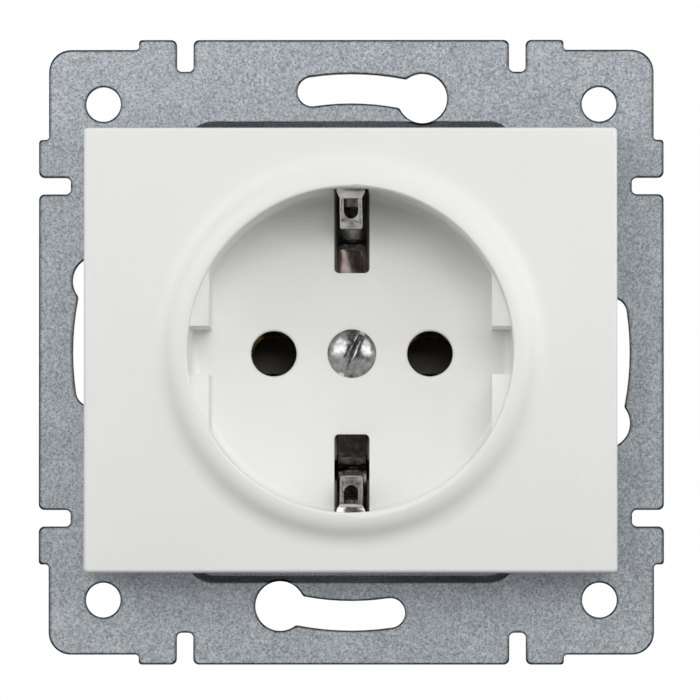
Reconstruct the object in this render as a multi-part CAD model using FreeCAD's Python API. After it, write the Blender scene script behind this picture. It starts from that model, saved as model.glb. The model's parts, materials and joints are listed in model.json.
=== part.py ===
import FreeCAD, Part
import math
import os

Vector = FreeCAD.Vector

# Socket insert for a two-pin plug with side earth clips, in millimetres.
# The back of the support frame lies in the plane y = 0, against the wall.
# The front looks towards -Y, +X is right and +Z is up. Depths are places along Y.

# Support frame: pressed and pierced steel sheet
sheet = 1.2
frame_edge = 5.9
corner_step = 1.2
corner_step_in = 12.1
frame_corner_radius = 2.7
notch_in = 17.7
notch_width = 2.0
notch_depth = 3.85
notch_floor_radius = 0.6
notch_mouth_radius = 0.7
step_radius = 0.4
corner_hole_in = 7.8
corner_hole_radius = 2.1

# Keyhole slots for the screws of the wall box, one on each side
slot_land = 4.0
slot_width = 3.57
slot_narrow_angle = 8.5
slot_eye_angle = 15.65
slot_eye_radius = 3.0
slot_blend_radius = 0.5

# Pan: the middle of the sheet, pressed back towards the wall box
pan_depth = 1.0
pan_side_margin = 3.8
pan_top_margin = 5.7
pan_corner_cut = 8.0
pan_corner_radius = 3.5
pan_slope = 0.8
pan_back_growth = 0.5

# Cover plate with the plug recess moulded in
cover_side_margin = 7.91
cover_top_margin = 2.61
cover_front = -10.0
cover_skin = 1.8
cover_wall = 1.6
cover_edge_radius = 0.45
cover_corner_radius = 0.5
skirt_gap = 1.8
lip_height = 1.6
lip_width = 4.6
rim_rounding = 0.36
recess_radius = 19.54
recess_depth = 17.5
recess_wall = 1.46
floor_thickness = 2.0
floor_corner_radius = 1.0
side_flat_in = 2.54
side_flat_below_lip = 1.0
keyway_height = 5.8
clip_slot_width = 4.3
clip_slot_start = 9.8
clip_slot_corner_radius = 0.6
rib_thickness = 1.2
rib_at = 9.0
rib_below_skirt = 0.8

# Pins of the plug
pin_spacing = 19.0
pin_length = 19.0
pin_hole_radius = 2.785
pin_hole_edge = 0.2

# Cover screw with a raised countersunk head, and its threaded insert
screw_head_radius = 2.95
screw_dome = 0.75
screw_radius = 1.5
screw_seat_clearance = 0.08
screw_slot_width = 0.65
screw_slot_depth = 1.1
screw_slot_angle = 63.5
screw_below_insert = 1.4
insert_radius = 2.8
insert_flange_radius = 3.5
insert_flange = 0.7
insert_length = 8.4
boss_radius = 4.8
thread_clearance = 0.02

# Earth bracket: one folded strip with a spring clip at each end
earth_sheet = 0.9
strip_width = 3.4
strip_drop_at = 13.4
strip_drop = 4.3
tongue_width = 2.7
tongue_below_rim = 0.35
tongue_flare = 0.7
tongue_nose_radius = 2.1
clip_leg_out = 0.86
clip_top_below_lip = 5.7
clip_turn = 1.6
clip_nose_gap = 29.2
clip_nose_depth = 11.5
clip_end_at = 17.4
clip_end_depth = 16.5
clip_bend_radius = 0.7
clip_nose_radius = 1.6
strip_bend_radius = 0.9
clip_groove_width = 1.75
clip_groove_start = 18.4
clip_groove_end = 16.1
bracket_middle_width = 8.0
bracket_arm_start = 6.6
bracket_bar_end = 9.5
ear_inner = 2.5
ear_width = 5.8
ear_bend_radius = 1.2

# Guard plate that closes the contact chambers
guard_lip = 0.4
guard_floor = 1.6
guard_pin_clearance = 0.25
channel_clearance = 0.2
bracket_clearance = 0.1

# Contact carrier: the insulating body behind the recess
carrier_margin = 1.0
carrier_corner_radius = 7.0
carrier_back_wall = 2.0
carrier_side_wall = 1.6
carrier_edge = 0.8
post_clearance = 0.8
post_start = 11.0
chamber_half_height = 4.7
chamber_inner = 5.5
chamber_wall_gap = 0.7
terminal_floor_rise = 1.6
terminal_half_height = 9.6
earth_half_width = 9.8
earth_chamber_inner = 12.3
core_inner = 2.2
core_width = 8.6
core_bottom = 9.2
core_height = 9.4
core_depth = 12.0

# Pin contacts: folded brass
contact_sheet = 0.8
contact_width = 7.4
tip_hole_radius = 3.0
arm_base_gap = 6.6
arm_nose_gap = 4.4
arm_mouth_gap = 6.6
arm_mouth_below_guard = 0.9
arm_nose_below_mouth = 2.8
arm_straight = 6.5
arm_bend_radius = 0.9
pin_tip_clearance = 0.8
screw_tip_gap = 0.3
flag_height = 17.2
flag_front_gap = 2.6
link_height = 6.4

# Terminal screws and clamping plates, alike for pins and earth
clamp_to_floor = 2.9
terminal_at = 4.9
earth_terminal_at = 5.4
wire_gap = 2.2
wire_offset = 2.75
wire_hole_radius = 1.5
wire_funnel_radius = 2.4
wire_funnel_depth = 1.2
clamp_side = 7.6
clamp_sheet = 1.2
clamp_lip = 0.7
clamp_hole_clearance = 0.2
terminal_screw_radius = 1.75
terminal_head_radius = 3.1
terminal_head = 1.7
terminal_screw_past_flag = 0.9
head_room = 0.1
terminal_slot_width = 0.8
terminal_slot_depth = 0.9
terminal_screw_turn = 25.0
earth_screw_turn = 40.0
access_clearance = 0.25

# Screws that hold the frame on the carrier, and the guard plate in it
frame_screw_inset = 3.373
frame_screw_radius = 1.3
frame_screw_hole_clearance = 0.25
frame_screw_head_radius = 2.4
frame_screw_head = 1.3
frame_screw_length = 9.0
frame_screw_cross_span = 2.8
frame_screw_cross_width = 0.65
frame_screw_cross_depth = 0.8
guard_screw_in = 2.73
guard_screw_radius = 1.1
guard_screw_head_radius = 2.1
guard_screw_length = 7.0
guard_screw_slot_width = 0.6
guard_screw_slot_depth = 0.5
opening_clearance = 1.2

# Places worked out from the sizes above
cup_radius = recess_radius + recess_wall
lip_foot_radius = recess_radius + lip_width
cover_half_width = lip_foot_radius + cover_side_margin
cover_half_height = lip_foot_radius + cover_top_margin
side_flat_at = recess_radius - side_flat_in
opening_radius = cup_radius + opening_clearance
pan_half_width = opening_radius + pan_side_margin
pan_half_height = opening_radius + pan_top_margin
pan_top_flat = pan_half_width - pan_corner_cut
slot_circle_radius = pan_half_height + slot_land
frame_half = slot_circle_radius + frame_edge
corner_step_at = frame_half - corner_step_in
notch_at = frame_half - notch_in
corner_hole_at = frame_half - corner_hole_in
pan_front = -sheet + pan_depth
lip_front = cover_front - lip_height
floor_front = lip_front + recess_depth
floor_back = floor_front + floor_thickness
pin_x = pin_spacing / 2
bracket_front = floor_back + bracket_clearance
bracket_middle = bracket_front + earth_sheet / 2
bracket_back = bracket_front + earth_sheet
strip_back = bracket_back + strip_drop
clip_leg_at = recess_radius + clip_leg_out
guard_radius = cup_radius + guard_lip
guard_screw_at = (guard_radius - guard_screw_in) / math.sqrt(2)
post_inner_radius = cup_radius + post_clearance
frame_screw_at = (post_inner_radius + frame_screw_inset) / math.sqrt(2)
guard_back = bracket_back + guard_floor
contact_base = floor_front + pin_length + pin_tip_clearance + contact_sheet
chamber_floor = contact_base
carrier_back = chamber_floor + carrier_back_wall
terminal_floor = chamber_floor - terminal_floor_rise
terminal_depth = terminal_floor - clamp_to_floor - clamp_side / 2
contact_side = pin_x + contact_width / 2
least_flag = contact_side + screw_tip_gap + terminal_screw_past_flag + contact_sheet
terminal_stack = wire_gap + clamp_sheet + terminal_head + head_room
least_half = least_flag + terminal_stack + carrier_side_wall
carrier_half = max(cup_radius + carrier_margin, least_half)
side_wall_inner = carrier_half - carrier_side_wall
flag_outer = side_wall_inner - terminal_stack
ear_plane = flag_outer - earth_sheet / 2


def block(x0, x1, y0, y1, z0, z1):
    return Part.makeBox(x1 - x0, y1 - y0, z1 - z0, Vector(x0, y0, z0))


def rod(radius, y0, y1, x=0.0, z=0.0):
    return Part.makeCylinder(radius, y1 - y0, Vector(x, y0, z), Vector(0, 1, 0))


def cone(radius0, radius1, y0, y1, x=0.0, z=0.0):
    return Part.makeCone(radius0, radius1, y1 - y0, Vector(x, y0, z), Vector(0, 1, 0))


def front_plane(y):
    """Outline points (a, b) become x = a and z = b at this depth."""
    return lambda a, b: Vector(a, y, b)


def side_plane(x):
    """Outline points (a, b) become z = a and y = b at this x."""
    return lambda a, b: Vector(x, b, a)


def top_plane(z):
    """Outline points (a, b) become x = a and y = b at this height."""
    return lambda a, b: Vector(a, b, z)


def rounded_wire(corners, place):
    """Closed outline through corners (a, b, radius), each rounded by its own radius."""
    starts = []
    middles = []
    ends = []
    for i, (a, b, radius) in enumerate(corners):
        here = Vector(a, b, 0)
        last = corners[i - 1]
        following = corners[(i + 1) % len(corners)]
        inward = (here - Vector(last[0], last[1], 0)).normalize()
        outward = (Vector(following[0], following[1], 0) - here).normalize()
        half_turn = inward.getAngle(outward) / 2
        reach = radius * math.tan(half_turn)
        starts.append(here - inward * reach)
        ends.append(here + outward * reach)
        bisector = (outward - inward).normalize()
        middles.append(here + bisector * (radius / math.cos(half_turn) - radius))
    edges = []
    for i, (a, b, radius) in enumerate(corners):
        if radius > 0:
            arc_points = [place(p.x, p.y) for p in (starts[i], middles[i], ends[i])]
            edges.append(Part.Arc(*arc_points).toShape())
        leave = ends[i]
        arrive = starts[(i + 1) % len(corners)]
        if (arrive - leave).Length > 1e-6:
            line = Part.LineSegment(place(leave.x, leave.y), place(arrive.x, arrive.y))
            edges.append(line.toShape())
    return Part.Wire(edges)


def rounded_prism(corners, place, direction):
    return Part.Face(rounded_wire(corners, place)).extrude(direction)


def strip_corners(path, thickness):
    """Outline corners of a bent strip, from its centre line of (a, b, bend radius)."""
    half = thickness / 2
    left = []
    right = []
    for i, (a, b, radius) in enumerate(path):
        here = Vector(a, b, 0)
        before = Vector(*path[max(i - 1, 0)][:2], 0)
        after = Vector(*path[min(i + 1, len(path) - 1)][:2], 0)
        d_in = (here - before) if i > 0 else (after - here)
        d_out = (after - here) if i < len(path) - 1 else (here - before)
        d_in.normalize()
        d_out.normalize()
        n_in = Vector(-d_in.y, d_in.x, 0)
        n_out = Vector(-d_out.y, d_out.x, 0)
        miter = (n_in + n_out) * (half / (1 + n_in.dot(n_out)))
        turn = math.copysign(half, d_in.cross(d_out).z)
        bent = 0 < i < len(path) - 1
        left.append((a + miter.x, b + miter.y, radius - turn if bent else 0))
        right.append((a - miter.x, b - miter.y, radius + turn if bent else 0))
    return left + right[::-1]


def rounded_rectangle(half_width, half_height, radius):
    return [
        (-half_width, -half_height, radius),
        (half_width, -half_height, radius),
        (half_width, half_height, radius),
        (-half_width, half_height, radius),
    ]


def join(first, *others):
    return first.fuse(list(others)).removeSplitter()


def edges_at(shape, y):
    """Edges that lie wholly in the plane at this depth."""
    return [e for e in shape.Edges if all(abs(v.Y - y) < 1e-5 for v in e.Vertexes)]


def frame_outline():
    """The square with stepped corners and two notches a side, as rounded corners."""
    inner = frame_half - corner_step
    depth = frame_half - notch_depth
    near = notch_at - notch_width / 2
    far = notch_at + notch_width / 2
    half_side = [
        (near, frame_half, notch_mouth_radius),
        (near, depth, notch_floor_radius),
        (far, depth, notch_floor_radius),
        (far, frame_half, notch_mouth_radius),
        (corner_step_at, frame_half, step_radius),
        (corner_step_at, inner, step_radius),
    ]
    mirrored = [(-along, out, radius) for along, out, radius in half_side[::-1]]
    side = mirrored + half_side + [(inner, inner, frame_corner_radius)]
    corners = []
    for quarter in range(4):
        turn = math.radians(90 * quarter)
        for along, out, radius in side:
            x = along * math.cos(turn) + out * math.sin(turn)
            z = out * math.cos(turn) - along * math.sin(turn)
            corners.append((x, z, radius))
    return corners


def pan_outline(inset):
    """Eight-sided outline of the pressed pan, moved inwards by the inset."""
    across = pan_half_width - inset
    up = pan_half_height - inset
    diagonal = pan_top_flat + pan_half_height - inset * math.sqrt(2)
    radius = pan_corner_radius - inset
    quarter = [(across, diagonal - across), (diagonal - up, up)]
    corners = list(quarter)
    corners += [(-x, z) for x, z in quarter[::-1]]
    corners += [(-x, -z) for x, z in quarter]
    corners += [(x, -z) for x, z in quarter[::-1]]
    return [(x, z, radius) for x, z in corners]


def pan_loft(y0, inset0, y1, inset1):
    wires = [
        rounded_wire(pan_outline(inset0), front_plane(y0)),
        rounded_wire(pan_outline(inset1), front_plane(y1)),
    ]
    return Part.makeLoft(wires, True, True)


def keyhole_slot(y0, y1):
    """Curved slot on the top side: narrow to the left, with its round eye to the right."""
    half = slot_width / 2
    outer = rod(slot_circle_radius + half, y0, y1)
    inner = rod(slot_circle_radius - half, y0, y1)
    ring = outer.cut(inner)
    reach = 2 * frame_half
    left = math.radians(slot_narrow_angle)
    right = math.radians(slot_eye_angle)
    corners = [
        Vector(0, y0, 0),
        Vector(-reach * math.sin(left), y0, reach * math.cos(left)),
        Vector(reach * math.sin(right), y0, reach * math.cos(right)),
        Vector(0, y0, 0),
    ]
    sector = Part.Face(Part.makePolygon(corners)).extrude(Vector(0, y1 - y0, 0))
    narrow_x = -slot_circle_radius * math.sin(left)
    narrow_z = slot_circle_radius * math.cos(left)
    eye_x = slot_circle_radius * math.sin(right)
    eye_z = slot_circle_radius * math.cos(right)
    slot = join(
        ring.common(sector),
        rod(half, y0, y1, narrow_x, narrow_z),
        rod(slot_eye_radius, y0, y1, eye_x, eye_z),
    )
    necks = []
    for edge in slot.Edges:
        middle = edge.valueAt((edge.FirstParameter + edge.LastParameter) / 2)
        upright = len(edge.Vertexes) == 2 and abs(edge.Length - (y1 - y0)) < 1e-6
        from_eye = math.hypot(middle.x - eye_x, middle.z - eye_z)
        left_of_eye = middle.x < eye_x - slot_eye_radius / 2
        if upright and left_of_eye and abs(from_eye - slot_eye_radius) < 1e-3:
            necks.append(edge)
    return slot.makeFillet(slot_blend_radius, necks)


def support_frame():
    flange = rounded_prism(frame_outline(), front_plane(-sheet), Vector(0, sheet, 0))
    pressed_back = pan_loft(-sheet / 2, -pan_back_growth, pan_depth, pan_slope - pan_back_growth)
    frame = join(flange, pressed_back)
    frame = frame.cut(pan_loft(-sheet, 0, pan_front, pan_slope))
    frame = frame.cut(rod(opening_radius, -sheet, pan_depth))
    for x in (-corner_hole_at, corner_hole_at):
        for z in (-corner_hole_at, corner_hole_at):
            frame = frame.cut(rod(corner_hole_radius, -sheet, 0, x, z))
    screw_hole = frame_screw_radius + frame_screw_hole_clearance
    for x, z in frame_screw_places():
        frame = frame.cut(rod(screw_hole, pan_front, pan_depth, x, z))
    slot = keyhole_slot(-sheet, pan_depth)
    for quarter in range(4):
        turned = slot.copy()
        turned.rotate(Vector(0, 0, 0), Vector(0, 1, 0), 90 * quarter)
        frame = frame.cut(turned)
    return frame.removeSplitter()


def cover_shell():
    """Flat rectangular front with its skirt, open behind, and a hole for the cup."""
    outline = rounded_rectangle(cover_half_width, cover_half_height, cover_corner_radius)
    depth = -sheet - skirt_gap - cover_front
    shell = rounded_prism(outline, front_plane(cover_front), Vector(0, depth, 0))
    shell = shell.makeFillet(cover_edge_radius, edges_at(shell, cover_front))
    inner = rounded_rectangle(
        cover_half_width - cover_wall, cover_half_height - cover_wall, cover_corner_radius
    )
    back_of_skin = cover_front + cover_skin
    hollow = rounded_prism(inner, front_plane(back_of_skin), Vector(0, depth, 0))
    hole = rod(recess_radius, cover_front, back_of_skin)
    return shell.cut(hollow).cut(hole)


def cup():
    """Turned form of the recess: floor, wall, rounded rim and the soft lip around it."""
    crest = recess_radius + rim_rounding
    run = lip_foot_radius - crest
    bend = (run**2 + lip_height**2) / (4 * lip_height)
    half_turn = math.atan(lip_height / run)
    rise = bend - bend * math.cos(half_turn)
    reach = bend * math.sin(half_turn)
    middle = Vector(crest + run / 2, (cover_front + lip_front) / 2, 0)
    skin = cover_front + cover_skin
    slant = math.sqrt(0.5)
    foot = Vector(lip_foot_radius, cover_front, 0)
    top = Vector(crest, lip_front, 0)
    rim = Vector(recess_radius, lip_front + rim_rounding, 0)
    rim_middle = Vector(
        crest - rim_rounding * slant, lip_front + rim_rounding - rim_rounding * slant, 0
    )
    corner = Vector(recess_radius, floor_front - floor_corner_radius, 0)
    corner_middle = Vector(
        recess_radius - floor_corner_radius * (1 - slant),
        floor_front - floor_corner_radius * (1 - slant),
        0,
    )
    floor_edge = Vector(recess_radius - floor_corner_radius, floor_front, 0)
    axis_front = Vector(0, floor_front, 0)
    axis_back = Vector(0, floor_back, 0)
    cup_back = Vector(cup_radius, floor_back, 0)
    cup_top = Vector(cup_radius, skin, 0)
    skin_foot = Vector(lip_foot_radius, skin, 0)
    edges = [
        Part.LineSegment(axis_front, axis_back).toShape(),
        Part.LineSegment(axis_back, cup_back).toShape(),
        Part.LineSegment(cup_back, cup_top).toShape(),
        Part.LineSegment(cup_top, skin_foot).toShape(),
        Part.LineSegment(skin_foot, foot).toShape(),
        Part.Arc(foot, Vector(foot.x - reach, foot.y - rise, 0), middle).toShape(),
        Part.Arc(middle, Vector(top.x + reach, top.y + rise, 0), top).toShape(),
        Part.Arc(top, rim_middle, rim).toShape(),
        Part.LineSegment(rim, corner).toShape(),
        Part.Arc(corner, corner_middle, floor_edge).toShape(),
        Part.LineSegment(floor_edge, axis_front).toShape(),
    ]
    face = Part.Face(Part.Wire(edges))
    return face.revolve(Vector(0, 0, 0), Vector(0, 1, 0), 360)


def side_flats():
    """The two flat sides of the recess, each parted by its keyway."""
    front = lip_front + side_flat_below_lip
    middle_of_wall = recess_radius + recess_wall / 2
    plug = rod(middle_of_wall, front, floor_front + floor_thickness / 2)
    middle = block(
        -side_flat_at, side_flat_at, front, floor_back, -middle_of_wall, middle_of_wall
    )
    keyway = block(
        -middle_of_wall, middle_of_wall, front, floor_back, -keyway_height / 2, keyway_height / 2
    )
    return plug.cut(middle).cut(keyway)


def cover_ribs():
    """Stiffening ribs from the cup to the skirt, hidden behind the front."""
    ribs = []
    inside = cover_half_width - cover_wall
    for side in (-1, 1):
        for z in (-rib_at, rib_at):
            x0, x1 = sorted((side * recess_radius, side * (inside + cover_wall / 2)))
            rib = block(
                x0, x1,
                cover_front + cover_skin / 2, -sheet - skirt_gap - rib_below_skirt,
                z - rib_thickness / 2, z + rib_thickness / 2,
            )
            ribs.append(rib.cut(rod(recess_radius + recess_wall / 2, lip_front, floor_back)))
    return ribs


def clip_slot(side):
    """Slot through the floor and wall of the recess for one earth clip."""
    near = side * clip_slot_start
    far = side * (cup_radius + recess_wall / 2)
    half = clip_slot_width / 2
    corners = [
        (-half, near, clip_slot_corner_radius),
        (half, near, clip_slot_corner_radius),
        (half, far, 0),
        (-half, far, 0),
    ]
    start = cover_front + cover_skin
    return rounded_prism(corners, front_plane(start), Vector(0, floor_back - start, 0))


def screw_seat(clearance):
    """Countersink and through hole in the floor of the recess."""
    top = screw_head_radius + clearance
    hole = screw_radius + clearance * 2
    depth = top - hole
    seat = cone(top, hole, floor_front, floor_front + depth)
    return join(seat, rod(hole, floor_front, floor_back))


def cover_plate():
    cover = join(cover_shell(), cup(), side_flats(), *cover_ribs())
    for side in (-1, 1):
        cover = cover.cut(clip_slot(side))
        cover = cover.cut(rod(pin_hole_radius, floor_front, floor_back, side * pin_x))
        edge = pin_hole_radius + pin_hole_edge
        bevel = cone(edge, pin_hole_radius, floor_front, floor_front + pin_hole_edge, side * pin_x)
        cover = cover.cut(bevel)
    return cover.cut(screw_seat(screw_seat_clearance)).removeSplitter()


def cover_screw():
    """Raised countersunk screw with a straight slot."""
    cone_depth = screw_head_radius - screw_radius
    head = cone(screw_head_radius, screw_radius, floor_front, floor_front + cone_depth)
    dome_radius = (screw_head_radius**2 + screw_dome**2) / (2 * screw_dome)
    ball = Part.makeSphere(dome_radius, Vector(0, floor_front - screw_dome + dome_radius, 0))
    dome = ball.common(rod(screw_head_radius, floor_front - screw_dome, floor_front))
    insert_end = bracket_back + insert_length
    shank = rod(screw_radius, floor_front + cone_depth / 2, insert_end + screw_below_insert)
    slot = block(
        -screw_head_radius, screw_head_radius,
        floor_front - screw_dome, floor_front - screw_dome + screw_slot_depth,
        -screw_slot_width / 2, screw_slot_width / 2,
    )
    slot.rotate(Vector(0, 0, 0), Vector(0, 1, 0), -screw_slot_angle)
    return join(dome, head, shank).cut(slot)


def cover_screw_insert():
    """Brass threaded bush, pressed into the boss of the carrier from the front."""
    flange = rod(insert_flange_radius, bracket_back, bracket_back + insert_flange)
    bush = rod(insert_radius, bracket_back, bracket_back + insert_length)
    bore = rod(screw_radius + thread_clearance, bracket_back, bracket_back + insert_length)
    return join(flange, bush).cut(bore)


def clip_path():
    """Centre line of one earth clip, as (z, y, bend radius), from the bridge to its end."""
    back = bracket_middle + strip_drop
    top = lip_front + clip_top_below_lip
    nose = clip_nose_gap / 2 + earth_sheet / 2
    return [
        (strip_drop_at, bracket_middle, strip_bend_radius),
        (strip_drop_at, back, strip_bend_radius),
        (clip_leg_at, back, strip_bend_radius),
        (clip_leg_at, top, clip_bend_radius),
        (clip_leg_at - clip_turn, top, clip_bend_radius),
        (nose, lip_front + clip_nose_depth, clip_nose_radius),
        (clip_end_at, lip_front + clip_end_depth, 0),
    ]


def bracket_plan(growth):
    """Flat shapes of the bracket that lie under the recess floor, as (x0, x1, z0, z1)."""
    strip = strip_width / 2 + growth
    middle = bracket_middle_width / 2 + growth
    reach = strip_drop_at
    ear_far = ear_inner + ear_width + growth
    ear_near = ear_inner - growth
    ear_end = ear_plane + earth_sheet / 2 + growth
    crossbar = bracket_bar_end + growth
    return [
        (-strip, strip, -reach - growth, reach + growth),
        (-middle, middle, -bracket_arm_start, bracket_arm_start),
        (-ear_far, ear_far, -crossbar, -bracket_arm_start),
        (ear_near, ear_far, -ear_end, -bracket_arm_start),
        (-ear_far, -ear_near, -ear_end, -bracket_arm_start),
    ]


def tongue_trims(side):
    """Material taken off the strip for a narrower tongue with a rounded nose."""
    narrow = tongue_width / 2
    wide = strip_width
    shoulder = recess_radius - tongue_below_rim
    inner = clip_nose_gap / 2 - earth_sheet
    trims = []
    for edge in (-1, 1):
        corners = [
            (edge * narrow, side * inner, 0),
            (edge * narrow, side * (shoulder - tongue_flare), 0),
            (edge * strip_width / 2, side * shoulder, 0),
            (edge * wide, side * shoulder, 0),
            (edge * wide, side * inner, 0),
        ]
        length = Vector(0, floor_back - lip_front, 0)
        trims.append(rounded_prism(corners, front_plane(lip_front), length))
    nose_centre = clip_nose_gap / 2 + tongue_nose_radius
    z0, z1 = sorted((side * inner, side * (clip_nose_gap / 2 + earth_sheet)))
    end = block(-narrow, narrow, lip_front, floor_back, z0, z1)
    trims.append(end.cut(rod(tongue_nose_radius, lip_front, floor_back, 0, side * nose_centre)))
    return trims


def clip_groove(side):
    """Open groove along the tongue, round at its inner end."""
    half = clip_groove_width / 2
    y1 = lip_front + clip_nose_depth
    z0, z1 = sorted((side * (clip_groove_end + half), side * clip_groove_start))
    run = block(-half, half, lip_front, y1, z0, z1)
    return join(run, rod(half, lip_front, y1, 0, side * (clip_groove_end + half)))


def earth_bracket():
    """Folded strip: the bridge under the floor, two clips, and two ears for the terminals."""
    half_path = clip_path()
    mirrored = [(-z, y, radius) for z, y, radius in half_path[::-1]]
    strip = rounded_prism(
        strip_corners(mirrored + half_path, earth_sheet),
        side_plane(-strip_width / 2),
        Vector(strip_width, 0, 0),
    )
    for side in (-1, 1):
        for trim in tongue_trims(side):
            strip = strip.cut(trim)
        strip = strip.cut(clip_groove(side))
    plates = [
        block(x0, x1, bracket_front, bracket_back, z0, z1)
        for x0, x1, z0, z1 in bracket_plan(0)[1:3]
    ]
    ear_path = [
        (-bracket_arm_start, bracket_middle, 0),
        (-ear_plane, bracket_middle, ear_bend_radius),
        (-ear_plane, terminal_depth + clamp_side / 2, 0),
    ]
    ears = []
    for x in (-ear_inner - ear_width, ear_inner):
        ear = rounded_prism(
            strip_corners(ear_path, earth_sheet), side_plane(x), Vector(ear_width, 0, 0)
        )
        ears.append(ear)
    bracket = join(strip, *plates, *ears)
    bracket = bracket.cut(rod(screw_radius + clamp_hole_clearance, bracket_front, bracket_back))
    for x in (-earth_terminal_at, earth_terminal_at):
        hole = Part.makeCylinder(
            terminal_screw_radius + thread_clearance, 2 * earth_sheet,
            Vector(x, terminal_depth, -ear_plane - earth_sheet), Vector(0, 0, 1),
        )
        bracket = bracket.cut(hole)
    return bracket.removeSplitter()


def contact_guard():
    """Insulating plate over the contact chambers, with a channel for the earth bracket."""
    guard = rod(guard_radius, floor_back, guard_back)
    for x0, x1, z0, z1 in bracket_plan(channel_clearance):
        guard = guard.cut(block(x0, x1, floor_back, bracket_back, z0, z1))
    half = strip_width / 2 + channel_clearance
    slot_start = strip_drop_at - strip_bend_radius - channel_clearance
    ear_gap = earth_sheet / 2 + channel_clearance
    ear_far = ear_inner + ear_width + channel_clearance
    ear_start = ear_plane - ear_bend_radius - ear_gap
    guard = guard.cut(
        block(-ear_far, ear_far, floor_back, guard_back, -ear_plane - ear_gap, -ear_start)
    )
    for side in (-1, 1):
        z0, z1 = sorted((side * slot_start, side * guard_radius))
        guard = guard.cut(block(-half, half, floor_back, guard_back, z0, z1))
        pin_hole = rod(pin_hole_radius + guard_pin_clearance, floor_back, guard_back, side * pin_x)
        guard = guard.cut(pin_hole)
    guard = guard.cut(rod(boss_radius + channel_clearance, floor_back, guard_back))
    for x, z in guard_screw_places():
        guard = guard.cut(rod(guard_screw_radius + thread_clearance, floor_back, guard_back, x, z))
        depth = guard_screw_head_radius - guard_screw_radius
        head = guard_screw_head_radius + thread_clearance
        seat = cone(head, head - depth, floor_back, floor_back + depth, x, z)
        guard = guard.cut(seat)
    return guard.removeSplitter()


def carrier_posts():
    """Four corner posts that reach forward past the recess to the support frame."""
    outline = rounded_rectangle(carrier_half, carrier_half, carrier_corner_radius)
    length = guard_back - pan_depth
    posts = rounded_prism(outline, front_plane(pan_depth), Vector(0, length, 0))
    posts = posts.cut(rod(post_inner_radius, pan_depth, guard_back))
    posts = posts.cut(
        block(-post_start, post_start, pan_depth, guard_back, -carrier_half, carrier_half)
    )
    return posts.cut(
        block(-carrier_half, carrier_half, pan_depth, guard_back, -post_start, post_start)
    )


def wire_entry(x, z):
    """Round hole for a wire in the back wall, with a funnel on the outside."""
    hole = rod(wire_hole_radius, terminal_floor, carrier_back, x, z)
    start = carrier_back - wire_funnel_depth
    funnel = cone(wire_hole_radius, wire_funnel_radius, start, carrier_back, x, z)
    return hole.fuse(funnel)


def carrier_hollows():
    """Everything that is cut out of the carrier's block."""
    hollows = []
    access = terminal_head_radius + access_clearance
    link = link_height / 2 + chamber_wall_gap
    chamber_outer = pin_x + contact_width / 2 + chamber_wall_gap
    flag_pocket = flag_outer + chamber_wall_gap
    wire_x = flag_outer + wire_gap / 2
    for side in (-1, 1):
        x0, x1 = sorted((side * chamber_inner, side * chamber_outer))
        hollows.append(
            block(x0, x1, guard_back, chamber_floor, -chamber_half_height, chamber_half_height)
        )
        x0, x1 = sorted((side * pin_x, side * flag_pocket))
        hollows.append(block(x0, x1, guard_back, chamber_floor, -link, link))
        inner = flag_outer - contact_sheet - terminal_screw_past_flag - chamber_wall_gap
        x0, x1 = sorted((side * inner, side * side_wall_inner))
        hollows.append(
            block(x0, x1, guard_back, terminal_floor, -terminal_half_height, terminal_half_height)
        )
        for z in (-terminal_at, terminal_at):
            start = Vector(side * side_wall_inner, terminal_depth, z)
            hollows.append(
                Part.makeCylinder(access, carrier_side_wall, start, Vector(side, 0, 0))
            )
        for z in (-terminal_at - wire_offset, terminal_at + wire_offset):
            hollows.append(wire_entry(side * wire_x, z))
        x0, x1 = sorted((side * core_inner, side * (core_inner + core_width)))
        hollows.append(
            block(
                x0, x1, carrier_back - core_depth, carrier_back,
                core_bottom, core_bottom + core_height,
            )
        )
        start = Vector(side * earth_terminal_at, terminal_depth, -side_wall_inner)
        hollows.append(Part.makeCylinder(access, carrier_side_wall, start, Vector(0, 0, -1)))
        earth_wire_z = -(ear_plane + earth_sheet / 2 + wire_gap / 2)
        hollows.append(wire_entry(side * (earth_terminal_at + wire_offset), earth_wire_z))
        strip_half = strip_width / 2 + post_clearance / 2
        strip_start = strip_drop_at - strip_bend_radius - channel_clearance
        strip_end = clip_leg_at + earth_sheet / 2 + channel_clearance
        z0, z1 = sorted((side * strip_start, side * strip_end))
        pocket_back = strip_back + post_clearance
        hollows.append(block(-strip_half, strip_half, guard_back, pocket_back, z0, z1))
    hollows.append(
        block(
            -earth_half_width, earth_half_width, guard_back, terminal_floor,
            -side_wall_inner, -earth_chamber_inner,
        )
    )
    return hollows


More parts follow.
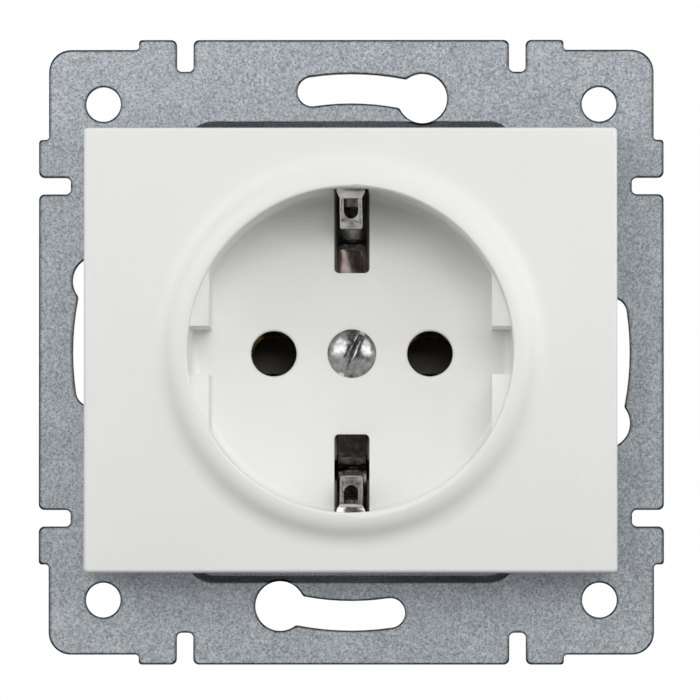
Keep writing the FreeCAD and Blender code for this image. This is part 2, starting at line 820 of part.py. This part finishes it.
def contact_carrier():
    """Moulded insulating body with chambers open to the front and wire holes behind."""
    outline = rounded_rectangle(carrier_half, carrier_half, carrier_corner_radius)
    length = carrier_back - guard_back
    body = rounded_prism(outline, front_plane(guard_back), Vector(0, length, 0))
    body = body.makeChamfer(carrier_edge, edges_at(body, carrier_back))
    body = join(body, carrier_posts(), rod(boss_radius, bracket_back, carrier_back))
    for hollow in carrier_hollows():
        body = body.cut(hollow)
    body = join(body, rod(boss_radius, bracket_back, carrier_back - carrier_back_wall / 2))
    insert_end = bracket_back + insert_length
    flange_end = bracket_back + insert_flange
    body = body.cut(rod(insert_flange_radius + thread_clearance, bracket_back, flange_end))
    body = body.cut(rod(insert_radius + thread_clearance, bracket_back, insert_end))
    pilot = screw_radius + clamp_hole_clearance
    pilot_end = insert_end + 2 * screw_below_insert
    body = body.cut(rod(pilot, insert_end, pilot_end))
    for x, z in frame_screw_places():
        pilot_end = pan_front + frame_screw_length + screw_below_insert
        body = body.cut(rod(frame_screw_radius + thread_clearance, pan_depth, pilot_end, x, z))
    for x, z in guard_screw_places():
        pilot_end = floor_back + guard_screw_length + screw_below_insert
        body = body.cut(rod(guard_screw_radius + thread_clearance, guard_back, pilot_end, x, z))
    return body.removeSplitter()


def pin_contact(side):
    """Brass fork that grips one pin, linked to the flag that takes the terminal screws."""
    base = contact_base - contact_sheet / 2
    half = contact_sheet / 2
    mouth = guard_back + arm_mouth_below_guard
    nose = mouth + arm_nose_below_mouth
    arm = [
        (arm_base_gap / 2 + half, base, arm_bend_radius),
        (arm_base_gap / 2 + half, nose + arm_straight, arm_bend_radius),
        (arm_nose_gap / 2 + half, nose, arm_bend_radius),
        (arm_mouth_gap / 2 + half, mouth, 0),
    ]
    mirrored = [(-z, y, radius) for z, y, radius in arm[::-1]]
    centre = side * pin_x
    fork = rounded_prism(
        strip_corners(mirrored + arm, contact_sheet),
        side_plane(centre - contact_width / 2),
        Vector(contact_width, 0, 0),
    )
    flag_centre = side * (flag_outer - half)
    front = guard_back + flag_front_gap
    link_path = [
        (centre, base, 0),
        (flag_centre, base, arm_bend_radius),
        (flag_centre, front, 0),
    ]
    link = rounded_prism(
        strip_corners(link_path, contact_sheet),
        top_plane(-link_height / 2),
        Vector(0, 0, link_height),
    )
    x0, x1 = sorted((side * (flag_outer - contact_sheet), side * flag_outer))
    flag_back = terminal_depth + clamp_side / 2
    flag = block(x0, x1, front, flag_back, -flag_height / 2, flag_height / 2)
    contact = join(fork, link, flag)
    tip_hole = rod(tip_hole_radius, contact_base - contact_sheet, contact_base, centre)
    contact = contact.cut(tip_hole)
    for z in (-terminal_at, terminal_at):
        start = Vector(side * (flag_outer - contact_sheet), terminal_depth, z)
        hole = terminal_screw_radius + thread_clearance
        contact = contact.cut(Part.makeCylinder(hole, contact_sheet, start, Vector(side, 0, 0)))
    return contact.removeSplitter()


def terminal_screw(sheet_behind):
    """Clamping screw along +Z, seen with the outer face of its flag at z = 0."""
    under_head = wire_gap + clamp_sheet
    past = sheet_behind + terminal_screw_past_flag
    shank = Part.makeCylinder(terminal_screw_radius, past + under_head, Vector(0, 0, -past))
    head = Part.makeCylinder(terminal_head_radius, terminal_head, Vector(0, 0, under_head))
    top = under_head + terminal_head
    half = terminal_slot_width / 2
    slot = Part.makeBox(
        2 * terminal_head_radius, terminal_slot_width, terminal_slot_depth,
        Vector(-terminal_head_radius, -half, top - terminal_slot_depth),
    )
    return join(shank, head).cut(slot)


def terminal_clamp():
    """Square clamping plate with two lips turned towards the flag."""
    half = clamp_side / 2
    plate = Part.makeBox(clamp_side, clamp_side, clamp_sheet, Vector(-half, -half, wire_gap))
    lips = []
    for edge in (-half, half - clamp_sheet):
        corner = Vector(edge, -half, wire_gap - clamp_lip)
        lips.append(Part.makeBox(clamp_sheet, clamp_side, clamp_lip, corner))
    hole_radius = terminal_screw_radius + clamp_hole_clearance
    hole = Part.makeCylinder(hole_radius, clamp_sheet, Vector(0, 0, wire_gap))
    return join(plate, *lips).cut(hole)


def stand_at(shape, place, outward, turn):
    """Turn a piece about its own axis, aim that axis outwards and move it to its place."""
    shape.rotate(Vector(0, 0, 0), Vector(0, 0, 1), turn)
    aim = FreeCAD.Rotation(Vector(0, 0, 1), outward)
    shape.Placement = FreeCAD.Placement(place, aim).multiply(shape.Placement)
    return shape


def terminals():
    """Screws and clamping plates of the four pin terminals and the two earth terminals."""
    nodes = {}
    for side, side_name in ((-1, "left"), (1, "right")):
        for z, level in ((terminal_at, "upper"), (-terminal_at, "lower")):
            place = Vector(side * flag_outer, terminal_depth, z)
            outward = Vector(side, 0, 0)
            name = f"{side_name}_{level}"
            screw = terminal_screw(contact_sheet)
            turn = terminal_screw_turn * side
            nodes[f"terminal_screw_{name}"] = stand_at(screw, place, outward, turn)
            nodes[f"terminal_clamp_{name}"] = stand_at(terminal_clamp(), place, outward, 90)
        place = Vector(side * earth_terminal_at, terminal_depth, -ear_plane - earth_sheet / 2)
        outward = Vector(0, 0, -1)
        screw = terminal_screw(earth_sheet)
        turn = earth_screw_turn * side
        nodes[f"earth_screw_{side_name}"] = stand_at(screw, place, outward, turn)
        nodes[f"earth_clamp_{side_name}"] = stand_at(terminal_clamp(), place, outward, 0)
    return nodes


def frame_screw_places():
    at = frame_screw_at
    return [(-at, at), (at, at), (at, -at), (-at, -at)]


def guard_screw_places():
    return [(-guard_screw_at, guard_screw_at), (guard_screw_at, -guard_screw_at)]


def frame_screw(x, z):
    """Self-tapping screw with a flat round head and a cross drive."""
    top = pan_front - frame_screw_head
    head = rod(frame_screw_head_radius, top, pan_front, x, z)
    shank = rod(frame_screw_radius, pan_front, pan_front + frame_screw_length, x, z)
    screw = join(head, shank)
    span = frame_screw_cross_span / 2
    half = frame_screw_cross_width / 2
    drive_end = top + frame_screw_cross_depth
    screw = screw.cut(block(x - span, x + span, top, drive_end, z - half, z + half))
    return screw.cut(block(x - half, x + half, top, drive_end, z - span, z + span))


def guard_screw(x, z):
    """Countersunk self-tapping screw with a straight slot."""
    depth = guard_screw_head_radius - guard_screw_radius
    head = cone(guard_screw_head_radius, guard_screw_radius, floor_back, floor_back + depth, x, z)
    shank = rod(guard_screw_radius, floor_back, floor_back + guard_screw_length, x, z)
    reach = guard_screw_head_radius
    half = guard_screw_slot_width / 2
    slot_end = floor_back + guard_screw_slot_depth
    slot = block(x - reach, x + reach, floor_back, slot_end, z - half, z + half)
    return join(head, shank).cut(slot)


def build():
    nodes = {
        "cover_plate": cover_plate(),
        "cover_screw": cover_screw(),
        "cover_screw_insert": cover_screw_insert(),
        "support_frame": support_frame(),
        "earth_bracket": earth_bracket(),
        "contact_guard": contact_guard(),
        "contact_carrier": contact_carrier(),
        "pin_contact_left": pin_contact(-1),
        "pin_contact_right": pin_contact(1),
    }
    nodes.update(terminals())
    corner_names = ("upper_left", "upper_right", "lower_right", "lower_left")
    for name, (x, z) in zip(corner_names, frame_screw_places()):
        nodes[f"frame_screw_{name}"] = frame_screw(x, z)
    for name, (x, z) in zip(("upper", "lower"), guard_screw_places()):
        nodes[f"guard_screw_{name}"] = guard_screw(x, z)
    return nodes


os.makedirs("parts", exist_ok=True)
for node_name, solid in build().items():
    solid.exportStep(f"parts/{node_name}.step")
    print(node_name, solid.isValid(), len(solid.Solids), round(solid.Volume, 1))
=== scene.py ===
import json
import math

import bpy
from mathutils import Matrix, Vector


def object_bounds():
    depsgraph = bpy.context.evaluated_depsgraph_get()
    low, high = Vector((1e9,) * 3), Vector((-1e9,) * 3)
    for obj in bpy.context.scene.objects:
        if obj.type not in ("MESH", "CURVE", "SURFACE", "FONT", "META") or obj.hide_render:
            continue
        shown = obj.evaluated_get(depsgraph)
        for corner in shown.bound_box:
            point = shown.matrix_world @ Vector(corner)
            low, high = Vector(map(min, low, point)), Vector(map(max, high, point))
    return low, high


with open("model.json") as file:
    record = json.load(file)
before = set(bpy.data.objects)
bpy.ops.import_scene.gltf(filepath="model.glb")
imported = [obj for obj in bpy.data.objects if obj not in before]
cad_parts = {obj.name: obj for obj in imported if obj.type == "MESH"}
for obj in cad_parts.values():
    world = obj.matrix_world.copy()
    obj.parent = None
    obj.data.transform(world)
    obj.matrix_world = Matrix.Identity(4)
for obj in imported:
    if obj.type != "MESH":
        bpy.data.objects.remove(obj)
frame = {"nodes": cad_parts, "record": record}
cad_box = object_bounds()
nodes = frame["nodes"]

WHITE = (1.0, 1.0, 1.0)

# Camera: a long lens nearly square to the front, a little to the right and below
CAMERA_DISTANCE = 1.1893
CAMERA_AZIMUTH = 0.64
CAMERA_ELEVATION = -1.6
CAMERA_CLIP_START = 0.05
SENSOR_MM = 36.0
PICTURE_PIXELS = 700
PIXELS_PER_METRE_AT_COVER = 8327.0
VIEW_WIDTH_AT_COVER = PICTURE_PIXELS / PIXELS_PER_METRE_AT_COVER
COVER_CENTRE = Vector((-0.00005, -0.0100, 0.0))

# Fill light: its strengths, and the parts of a direction between which it grows
FILL_BELOW = 0.02
FILL_ABOVE = 0.12
FILL_RISES_FROM = -0.3
FILL_RISES_TO = 0.7
FILL_BEHIND = 0.75
FILL_BACK_FROM = 0.05
FILL_BACK_TO = 0.45

# Dark card behind the camera, which only reflections see
CARD_CENTRE = (0.19, -1.45, 0.81)
CARD_WIDTH = 1.16
CARD_HEIGHT = 2.2
CARD_SHADE = 0.03
CARD_GLOW = 0.08

# Floor, and the roughness that it shares with the card
FLOOR_BELOW = 0.75
FLOOR_SIZE = 14.0
FLOOR_SHADE = 0.85
FLOOR_GLOW = 0.38
STAGE_ROUGHNESS = 0.9

# Edges: the angle from which a corner counts as one, and the widths that are rounded
EDGE_ANGLE = math.radians(30)
EDGE_SEGMENTS = 2
EDGE_WIDTHS = {"cover_screw": 0.00008, "earth_bracket": 0.00010, "cover_plate": 0.00016}
WELD_DISTANCE = 0.000001

# Noise lies mostly between these two values
NOISE_LOW = 0.3
NOISE_HIGH = 0.7

# Fine noise in metal, as multiples of the scale of its colour
GLOSS_TIMES_FINER = 2.0
BUMP_TIMES_FINER = 3.0

# The sheet's pierced edges: how far in their painted shadow and painted highlight line reach
SHEET_EDGE_REACH = 0.00080
SHEET_EDGE_SAMPLES = 8

# Earth strip: how far from the middle its painted shade over the bridge starts to fade, and ends
PAINTED_SHADE_FADES_FROM = 0.0138
PAINTED_SHADE_FADES_TO = 0.0152


def new_material(name):
    """Material with its node tree emptied down to one Principled shader."""
    material = bpy.data.materials.new(name)
    material.use_nodes = True
    tree = material.node_tree
    tree.nodes.clear()
    output = tree.nodes.new("ShaderNodeOutputMaterial")
    shader = tree.nodes.new("ShaderNodeBsdfPrincipled")
    tree.links.new(shader.outputs["BSDF"], output.inputs["Surface"])
    return material, tree, shader


def noise(tree, scale, detail=2.0):
    """Noise over the object's own coordinates, which are in metres."""
    texture = tree.nodes.new("ShaderNodeTexNoise")
    texture.inputs["Scale"].default_value = scale
    texture.inputs["Detail"].default_value = detail
    place = tree.nodes.new("ShaderNodeTexCoord").outputs["Object"]
    tree.links.new(place, texture.inputs["Vector"])
    return texture.outputs["Fac"]


def ramp(tree, value, stops):
    """Colour ramp over a value, from (position, colour) stops."""
    node = tree.nodes.new("ShaderNodeValToRGB")
    elements = node.color_ramp.elements
    while len(elements) < len(stops):
        elements.new(0.5)
    for element, (position, colour) in zip(elements, stops):
        element.position = position
        element.color = (*colour, 1.0)
    tree.links.new(value, node.inputs["Fac"])
    return node.outputs["Color"]


def mapped(tree, value, source, target):
    """The value, with the source range mapped to the target range and held at its ends."""
    node = tree.nodes.new("ShaderNodeMapRange")
    node.inputs["From Min"].default_value, node.inputs["From Max"].default_value = source
    node.inputs["To Min"].default_value, node.inputs["To Max"].default_value = target
    tree.links.new(value, node.inputs["Value"])
    return node.outputs["Result"]


def multiply(tree, first, second):
    """Product of two colours, not held below white."""
    mix = tree.nodes.new("ShaderNodeMix")
    mix.data_type = "RGBA"
    mix.blend_type = "MULTIPLY"
    mix.clamp_result = False
    mix.inputs["Factor"].default_value = 1.0
    tree.links.new(first, mix.inputs["A"])
    tree.links.new(second, mix.inputs["B"])
    return mix.outputs["Result"]


def mottle(tree, scale, dark, light, detail=3.0):
    """Colour that wanders between a dark and a light one."""
    return ramp(tree, noise(tree, scale, detail), [(NOISE_LOW, dark), (NOISE_HIGH, light)])


def vary_gloss(tree, shader, scale, roughness, detail=2.0):
    """Roughness that wanders over a (low, high) range."""
    gloss = mapped(tree, noise(tree, scale, detail), (NOISE_LOW, NOISE_HIGH), roughness)
    tree.links.new(gloss, shader.inputs["Roughness"])


def roughen(tree, shader, scale, strength, height, detail=2.0):
    """Fine unevenness of this height in metres, as bump."""
    node = tree.nodes.new("ShaderNodeBump")
    node.inputs["Strength"].default_value = strength
    node.inputs["Distance"].default_value = height
    tree.links.new(noise(tree, scale, detail), node.inputs["Height"])
    tree.links.new(node.outputs["Normal"], shader.inputs["Normal"])


def white_cover_material():
    """White moulded plastic with a soft sheen and a trace of unevenness."""
    material, tree, shader = new_material("white_cover")
    shade = mottle(tree, 60.0, dark=(0.86, 0.86, 0.85), light=(0.88, 0.88, 0.87))
    tree.links.new(shade, shader.inputs["Base Color"])
    vary_gloss(tree, shader, 900.0, roughness=(0.36, 0.44))
    shader.inputs["IOR"].default_value = 1.49
    roughen(tree, shader, 5200.0, strength=0.12, height=0.00002)
    return material


def edge_facing(tree, reach):
    """How far the rounded normal agrees with the true one: 1 on a flat, 0.7 at an edge."""
    rounded = tree.nodes.new("ShaderNodeBevel")
    rounded.samples = SHEET_EDGE_SAMPLES
    rounded.inputs["Radius"].default_value = reach
    true_normal = tree.nodes.new("ShaderNodeNewGeometry").outputs["Normal"]
    product = tree.nodes.new("ShaderNodeVectorMath")
    product.operation = "DOT_PRODUCT"
    tree.links.new(rounded.outputs["Normal"], product.inputs[0])
    tree.links.new(true_normal, product.inputs[1])
    return product.outputs["Value"]


def galvanised_material():
    """Zinc-coated sheet: fine grain over slow clouds, with painted shadow along its pierced edges
    and a painted highlight line beside it.
    """
    material, tree, shader = new_material("galvanised_sheet")
    grain = mottle(tree, 4600.0, dark=(0.255, 0.276, 0.297), light=(0.625, 0.666, 0.697))
    clouds = mottle(tree, 240.0, dark=(0.90, 0.91, 0.92), light=WHITE)
    # Painted edge light: a painted shadow on the pierced edges, fading into a painted highlight line
    # beside them
    painted_edge_shadow, painted_shadow_fade, painted_edge_highlight = (0.02, 0.02, 0.02), (0.12, 0.12, 0.13), (1.25, 1.25, 1.25)
    edges = ramp(
        tree,
        edge_facing(tree, SHEET_EDGE_REACH),
        [(0.86, painted_edge_shadow), (0.93, painted_shadow_fade), (0.965, painted_edge_highlight), (0.995, WHITE)],
    )
    sheet = multiply(tree, multiply(tree, grain, clouds), edges)
    tree.links.new(sheet, shader.inputs["Base Color"])
    shader.inputs["Metallic"].default_value = 0.92
    vary_gloss(tree, shader, 1500.0, roughness=(0.42, 0.60), detail=3.0)
    roughen(tree, shader, 4200.0, strength=0.35, height=0.00003, detail=3.0)
    return material


def metal_material(name, dark, light, roughness, scale, strength):
    """Plain metal whose colour and gloss change a little over its surface."""
    material, tree, shader = new_material(name)
    tree.links.new(mottle(tree, scale, dark, light), shader.inputs["Base Color"])
    shader.inputs["Metallic"].default_value = 1.0
    vary_gloss(tree, shader, scale * GLOSS_TIMES_FINER, roughness)
    roughen(tree, shader, scale * BUMP_TIMES_FINER, strength, height=0.00002)
    return material


def brass_material():
    """Bright brass of the pin contacts."""
    return metal_material(
        "brass_contact",
        dark=(0.52, 0.35, 0.13),
        light=(0.68, 0.48, 0.20),
        roughness=(0.22, 0.36),
        scale=700.0,
        strength=0.10,
    )


def earth_spring_material():
    """Tinned spring strip, with painted shade darkening it where it bridges the recess floor."""
    material = metal_material(
        "earth_spring",
        dark=(0.38, 0.365, 0.34),
        light=(0.58, 0.565, 0.54),
        roughness=(0.14, 0.26),
        scale=900.0,
        strength=0.16,
    )
    tree = material.node_tree
    # Painted shade: the strip is darkened near the middle, where it lies in shadow below the slots
    parts = tree.nodes.new("ShaderNodeSeparateXYZ")
    place = tree.nodes.new("ShaderNodeTexCoord").outputs["Object"]
    tree.links.new(place, parts.inputs["Vector"])
    away = tree.nodes.new("ShaderNodeMath")
    away.operation = "ABSOLUTE"
    tree.links.new(parts.outputs["Z"], away.inputs[0])
    unshaded_share = mapped(tree, away.outputs["Value"], (PAINTED_SHADE_FADES_FROM, PAINTED_SHADE_FADES_TO), (0.0, 1.0))
    painted_shade = ramp(tree, unshaded_share, [(0.0, (0.29, 0.25, 0.235)), (1.0, WHITE)])
    base = tree.nodes["Principled BSDF"].inputs["Base Color"]
    tree.links.new(multiply(tree, base.links[0].from_socket, painted_shade), base)
    return material


def cover_screw_material():
    """Steel of the cover screw: glossy, scratched and uneven in colour."""
    return metal_material(
        "cover_screw_steel",
        dark=(0.17, 0.17, 0.17),
        light=(0.48, 0.48, 0.48),
        roughness=(0.12, 0.26),
        scale=1300.0,
        strength=0.55,
    )


def plated_steel_material():
    """Yellowish plated steel of the screws and clamps behind the cover."""
    return metal_material(
        "plated_steel",
        dark=(0.46, 0.45, 0.40),
        light=(0.62, 0.61, 0.55),
        roughness=(0.24, 0.38),
        scale=900.0,
        strength=0.15,
    )


def insulating_material(name, dark, light):
    """Moulded insulating plastic with a fine eroded grain."""
    material, tree, shader = new_material(name)
    tree.links.new(mottle(tree, 300.0, dark, light, detail=4.0), shader.inputs["Base Color"])
    vary_gloss(tree, shader, 1800.0, roughness=(0.50, 0.66))
    roughen(tree, shader, 3000.0, strength=0.3, height=0.00004, detail=3.0)
    return material


def carrier_material():
    return insulating_material("grey_carrier", dark=(0.285, 0.285, 0.275), light=(0.31, 0.31, 0.30))


def guard_material():
    return insulating_material("grey_guard", dark=(0.12, 0.117, 0.11), light=(0.16, 0.156, 0.15))


def slot_materials():
    """The material of each slot of the record."""
    return {
        "white_cover": white_cover_material(),
        "galvanised_sheet": galvanised_material(),
        "grey_carrier": carrier_material(),
        "grey_guard": guard_material(),
        "brass_contact": brass_material(),
        "earth_spring": earth_spring_material(),
        "cover_screw_steel": cover_screw_material(),
        "plated_steel": plated_steel_material(),
    }


def dress_nodes():
    """Each carried-over node gets the material of its slot."""
    materials = slot_materials()
    slots = {part["node"]: part["material_slot"] for part in frame["record"]["subparts"]}
    for name, piece in nodes.items():
        piece.data.materials.clear()
        piece.data.materials.append(materials[slots[name]])


def smooth_faces(piece):
    """Smooth shading, apart from the edges."""
    piece.data.shade_smooth()
    piece.data.set_sharp_from_angle(angle=EDGE_ANGLE)


def soften_edges(piece, width):
    """Small rounded edges. The loaded faces share no corners until they are welded."""
    weld = piece.modifiers.new("weld", "WELD")
    weld.merge_threshold = WELD_DISTANCE
    bevel = piece.modifiers.new("edge", "BEVEL")
    bevel.width = width
    bevel.segments = EDGE_SEGMENTS
    bevel.limit_method = "ANGLE"
    bevel.angle_limit = EDGE_ANGLE
    bevel.harden_normals = True


def toward(azimuth, elevation, distance):
    """Place seen from the socket in this direction: azimuth 0 is its front, 90 its right."""
    turn = math.radians(azimuth)
    lift = math.radians(elevation)
    across = distance * math.cos(lift)
    return Vector((across * math.sin(turn), -across * math.cos(turn), distance * math.sin(lift)))


def soft_box(name, place, width, height, power):
    """Rectangular light that faces the socket."""
    data = bpy.data.lights.new(name, "AREA")
    data.shape = "RECTANGLE"
    data.size = width
    data.size_y = height
    data.energy = power
    light = bpy.data.objects.new(name, data)
    bpy.context.scene.collection.objects.link(light)
    light.location = place
    light.rotation_euler = (-place).to_track_quat("-Z", "Y").to_euler()
    return light


def add_lights():
    """A soft box on each side, and a front light that reflections don't see."""
    left = toward(azimuth=-45, elevation=18, distance=0.34)
    right = toward(azimuth=49, elevation=16, distance=0.36)
    ahead = toward(azimuth=6, elevation=14, distance=0.8)
    soft_box("soft_box_left", left, width=0.39, height=0.20, power=0.48)
    soft_box("soft_box_right", right, width=0.36, height=0.21, power=0.56)
    front = soft_box("front_light", ahead, width=0.27, height=0.27, power=2.4)
    front.visible_glossy = False


def fill_strength(tree):
    """Strength of the fill light: it grows upwards, and is full behind the socket."""
    direction = tree.nodes.new("ShaderNodeTexCoord").outputs["Generated"]
    parts = tree.nodes.new("ShaderNodeSeparateXYZ")
    tree.links.new(direction, parts.inputs["Vector"])
    rise = (FILL_RISES_FROM, FILL_RISES_TO)
    upwards = mapped(tree, parts.outputs["Z"], rise, (FILL_BELOW, FILL_ABOVE))
    back = (FILL_BACK_FROM, FILL_BACK_TO)
    behind = mapped(tree, parts.outputs["Y"], back, (0.0, FILL_BEHIND))
    total = tree.nodes.new("ShaderNodeMath")
    tree.links.new(upwards, total.inputs[0])
    tree.links.new(behind, total.inputs[1])
    return total.outputs["Value"]


def mix_by_ray(tree, seen, lit):
    """Shader that shows one look to camera, glossy and transmission rays and another to the rest."""
    path = tree.nodes.new("ShaderNodeLightPath")
    last = path.outputs["Is Camera Ray"]
    for ray in ("Is Glossy Ray", "Is Transmission Ray"):
        either = tree.nodes.new("ShaderNodeMath")
        either.operation = "MAXIMUM"
        tree.links.new(last, either.inputs[0])
        tree.links.new(path.outputs[ray], either.inputs[1])
        last = either.outputs[0]
    mix = tree.nodes.new("ShaderNodeMixShader")
    tree.links.new(last, mix.inputs[0])
    tree.links.new(lit, mix.inputs[1])
    tree.links.new(seen, mix.inputs[2])
    return mix.outputs[0]


def white_background(tree):
    node = tree.nodes.new("ShaderNodeBackground")
    node.inputs["Color"].default_value = (*WHITE, 1)
    node.inputs["Strength"].default_value = 1.0
    return node


def make_world():
    """White world as it is seen, and fill light where it lights the socket."""
    world = bpy.data.worlds.new("studio")
    world.use_nodes = True
    bpy.context.scene.world = world
    tree = world.node_tree
    tree.nodes.clear()
    output = tree.nodes.new("ShaderNodeOutputWorld")
    seen = white_background(tree)
    lit = white_background(tree)
    tree.links.new(fill_strength(tree), lit.inputs["Strength"])
    shader = mix_by_ray(tree, seen.outputs[0], lit.outputs[0])
    tree.links.new(shader, output.inputs["Surface"])


def stage_material(name, shade, glow):
    """Matt grey with a faint light of its own."""
    material, tree, shader = new_material(name)
    shader.inputs["Base Color"].default_value = (shade, shade, shade, 1)
    shader.inputs["Roughness"].default_value = STAGE_ROUGHNESS
    shader.inputs["Emission Color"].default_value = (*WHITE, 1)
    shader.inputs["Emission Strength"].default_value = glow
    return material


def add_floor():
    """Pale floor below the socket, as it hangs in its mount."""
    low = cad_box[0][2] - FLOOR_BELOW
    bpy.ops.mesh.primitive_plane_add(size=FLOOR_SIZE, location=(0, 0, low))
    floor = bpy.context.object
    floor.name = "floor"
    floor.visible_diffuse = False
    floor.data.materials.append(stage_material("pale_floor", FLOOR_SHADE, FLOOR_GLOW))


def add_card():
    """Upright dark card in front of the socket, as the dark side of the studio."""
    bpy.ops.mesh.primitive_plane_add(size=1, location=CARD_CENTRE)
    card = bpy.context.object
    card.name = "dark_card"
    card.scale = (CARD_WIDTH, CARD_HEIGHT, 1)
    card.rotation_euler = (math.radians(90), 0, 0)
    card.visible_camera = False
    card.visible_diffuse = False
    card.visible_shadow = False
    card.data.materials.append(stage_material("dark_card", CARD_SHADE, CARD_GLOW))


def add_camera():
    """Camera that sees the cover at the photograph's scale and angle."""
    data = bpy.data.cameras.new("camera")
    data.sensor_width = SENSOR_MM
    data.lens = SENSOR_MM * CAMERA_DISTANCE / VIEW_WIDTH_AT_COVER
    data.clip_start = CAMERA_CLIP_START
    camera = bpy.data.objects.new("camera", data)
    bpy.context.scene.collection.objects.link(camera)
    away = toward(CAMERA_AZIMUTH, CAMERA_ELEVATION, CAMERA_DISTANCE)
    camera.location = COVER_CENTRE + away
    camera.rotation_euler = (-away).to_track_quat("-Z", "Y").to_euler()
    bpy.context.scene.camera = camera


dress_nodes()
for piece in nodes.values():
    smooth_faces(piece)
for name, width in EDGE_WIDTHS.items():
    soften_edges(nodes[name], width)
add_lights()
make_world()
add_floor()
add_card()
add_camera()
bpy.context.scene.view_settings.view_transform = "Standard"
